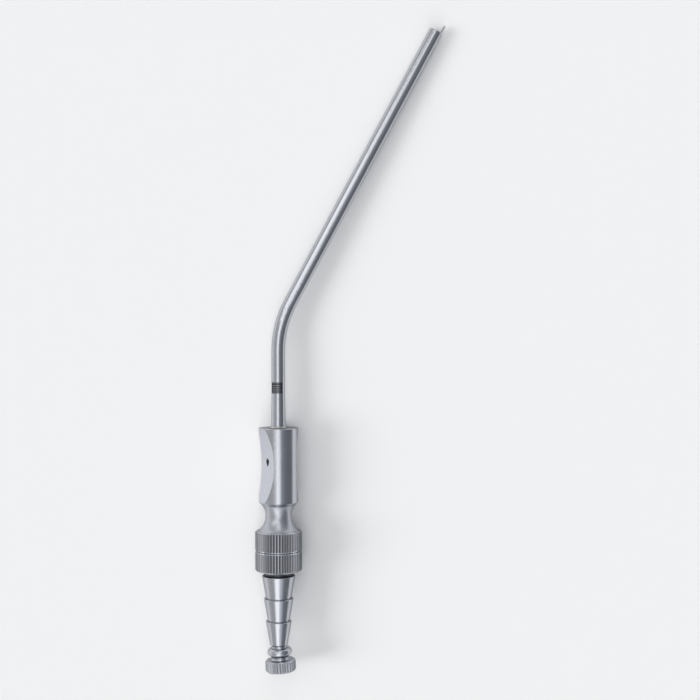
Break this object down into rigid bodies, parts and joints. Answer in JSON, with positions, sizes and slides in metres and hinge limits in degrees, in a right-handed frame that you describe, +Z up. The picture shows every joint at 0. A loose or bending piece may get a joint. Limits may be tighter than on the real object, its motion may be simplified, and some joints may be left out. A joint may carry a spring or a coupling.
{
  "type": "frazier suction tube",
  "caption": "Bent steel suction tube with a scooped, vented finger grip, a knurled screw joint, a barbed hose connector and a wire stylet with a knurled knob.",
  "frame": {"origin": "on the surface the instrument lies on, under the middle of its overall box", "axes": "+Z up from the surface, +Y along the grip towards the tube's tip, +X to the side the tube bends to"},
  "size_m": [0.056, 0.1898, 0.0141],
  "materials": {
    "tube_steel": "satin drawn stainless tube",
    "grip_steel": "satin turned stainless steel",
    "wire_steel": "bright spring wire"
  },
  "bodies": {
    "handle": {"suction_tube": "tube_steel", "grip": "grip_steel", "stylet_wire": "wire_steel", "stylet_knob": "grip_steel"},
    "connector": {"hose_connector": "grip_steel"}
  },
  "joints": [
    {"name": "connector_screw", "type": "hinge", "parent": "handle", "child": "connector", "pos_m": [-0.02118, -0.05903, 0.00705], "axis": [0, -0.9994, 0.0341], "range_deg": [0, 1080]}
  ]
}
